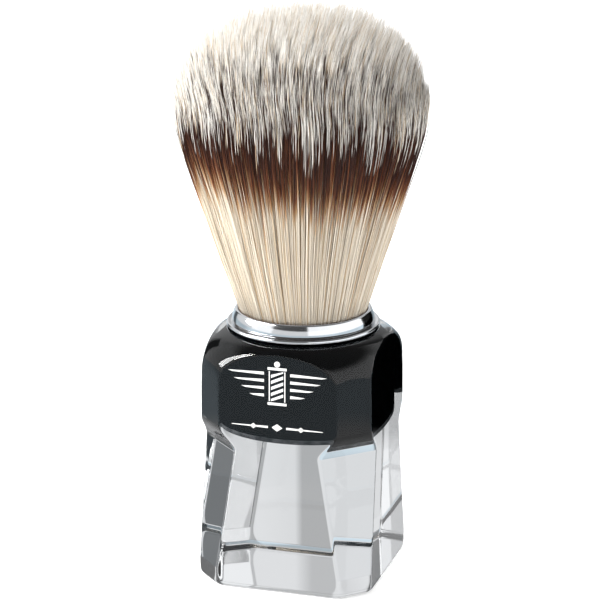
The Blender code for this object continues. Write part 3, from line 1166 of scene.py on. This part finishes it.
# The camera, in degrees from the front and above the horizon. It aims a little left of and below a
# place on the axis.
CAMERA_DISTANCE = 520.2 * MM
CAMERA_AZIMUTH = 16.93
CAMERA_ELEVATION = 16.62
CAMERA_AIM = 0.4896 * KNOT_TOP
CAMERA_LEFT = 0.16 * MM
CAMERA_DOWN = 0.77 * MM
CAMERA_LENS = 154.1


def horizon_band(tree, azimuth, stops):
    """Brightness round the horizon, straight between the stops, as a sum of one step per stop."""
    total = stops[0][1]
    for (start, before), (end, after) in zip(stops[:-1], stops[1:]):
        if after != before:
            step = map_range(tree, azimuth, 0.0, after - before, math.radians(start), math.radians(end))
            total = maths(tree, "ADD", step, total)
    return total


def strip_light(tree, azimuth, height):
    """The product of the strip's four edges."""
    left = math.radians(STRIP_LEFT)
    right = math.radians(STRIP_RIGHT)
    edge = math.radians(STRIP_EDGE)
    glow = map_range(tree, height, 0.0, 1.0, STRIP_LOW, STRIP_LOW + STRIP_FADE)
    for side in (
        map_range(tree, height, 1.0, 0.0, STRIP_HIGH, STRIP_HIGH + STRIP_FADE),
        map_range(tree, azimuth, 0.0, STRIP_GLOW, left, left + edge),
        map_range(tree, azimuth, 1.0, 0.0, right, right + edge),
    ):
        glow = maths(tree, "MULTIPLY", glow, side)
    return glow


def studio_world():
    """Soft surroundings. Mirrors and glass see the rows above, matt surfaces a plain gradient, and the
    camera a plain backdrop."""
    world = bpy.data.worlds.new("studio")
    bpy.context.scene.world = world
    world.use_nodes = True
    tree = world.node_tree
    tree.nodes.clear()
    x, y, z = separated(tree, tree.nodes.new("ShaderNodeTexCoord").outputs["Generated"])
    azimuth = maths(tree, "ARCTAN2", x, maths(tree, "MULTIPLY", y, -1.0))

    def rises(coordinate, low, high):
        """0 below one value of a coordinate of the direction vector, 1 above another."""
        return map_range(tree, coordinate, 0.0, 1.0, low, high, "SMOOTHSTEP")

    around = blend(tree, "MULTIPLY", horizon_band(tree, azimuth, WORLD_LOW), PLAIN_TINT)
    for stops, tint, low, high in WORLD_ROWS:
        row = blend(tree, "MULTIPLY", horizon_band(tree, azimuth, stops), tint)
        around = blend(tree, "MIX", around, row, rises(z, low, high))
    around = blend(tree, "MIX", around, WORLD_OVERHEAD, rises(z, OVERHEAD_FROM, OVERHEAD_TO))
    around = blend(tree, "ADD", around, strip_light(tree, azimuth, z))
    sideways = rises(x, -AMBIENT_SIDE, AMBIENT_SIDE)
    ambient = blend(tree, "MIX", AMBIENT_LEFT, AMBIENT_RIGHT, sideways)
    ambient = blend(tree, "MIX", ambient, AMBIENT_TOP, rises(z, AMBIENT_TOP_FROM, 1.0))

    seen = tree.nodes.new("ShaderNodeLightPath")
    lit = blend(tree, "MIX", around, ambient, seen.outputs["Is Diffuse Ray"])
    plain = blend(tree, "MIX", lit, WORLD_BACKDROP, seen.outputs["Is Camera Ray"])
    background = tree.nodes.new("ShaderNodeBackground")
    tree.links.new(plain, background.inputs["Color"])
    output = tree.nodes.new("ShaderNodeOutputWorld")
    tree.links.new(background.outputs["Background"], output.inputs["Surface"])


def key_light():
    """A square softbox to the left, aimed at the middle of the brush."""
    light = bpy.data.lights.new("key", "AREA")
    light.shape = "SQUARE"
    light.size = KEY_SIZE
    light.energy = KEY_POWER
    lamp = bpy.data.objects.new("key", light)
    bpy.context.scene.collection.objects.link(lamp)
    a = math.radians(KEY_AZIMUTH)
    e = math.radians(KEY_ELEVATION)
    way = Vector((math.sin(a) * math.cos(e), -math.cos(a) * math.cos(e), math.sin(e)))
    target = Vector((0.0, 0.0, 0.5 * KNOT_TOP))
    lamp.location = target + way * KEY_DISTANCE
    lamp.rotation_mode = "QUATERNION"
    lamp.rotation_quaternion = (-way).to_track_quat("-Z", "Y")
    lamp.visible_camera = False


def camera():
    a = math.radians(CAMERA_AZIMUTH)
    e = math.radians(CAMERA_ELEVATION)
    back = Vector((math.cos(e) * math.sin(a), -math.cos(e) * math.cos(a), math.sin(e)))
    right = Vector((math.cos(a), math.sin(a), 0.0))
    up = back.cross(right)
    aim = Vector((0.0, 0.0, CAMERA_AIM)) - right * CAMERA_LEFT - up * CAMERA_DOWN
    data = bpy.data.cameras.new("camera")
    data.lens = CAMERA_LENS
    data.sensor_width = 36.0
    data.clip_start = 0.01
    data.clip_end = 20.0
    made = bpy.data.objects.new("camera", data)
    bpy.context.scene.collection.objects.link(made)
    made.location = aim + back * CAMERA_DISTANCE
    made.rotation_mode = "QUATERNION"
    made.rotation_quaternion = (-back).to_track_quat("-Z", "Y")
    bpy.context.scene.camera = made


def carried_over():
    """New surfaces for the CAD nodes that stay as they are, inside the handle."""
    surfaces = {
        "knot_adhesive": resin("set_epoxy", (0.50, 0.43, 0.28), (0.66, 0.59, 0.42), 0.2),
        "resin_plug": resin("potting_resin", (0.34, 0.21, 0.09), (0.50, 0.34, 0.17), 0.25),
        "root_binding": waxed_thread(),
    }
    for name, surface in surfaces.items():
        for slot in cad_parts[name].material_slots:
            slot.material = surface


def main():
    camera()
    handle_block()
    socket_cup()
    cement_bed()
    chrome_ferrule()
    groove_shadow_ring()
    rim_shadow_line()
    printed_badge()
    carried_over()
    fibre_core()
    fibre_knot()
    stage_floor()
    studio_world()
    key_light()
    bpy.context.scene.cycles.diffuse_bounces = DIFFUSE_BOUNCES
    bpy.context.scene.view_settings.view_transform = "Standard"


main()
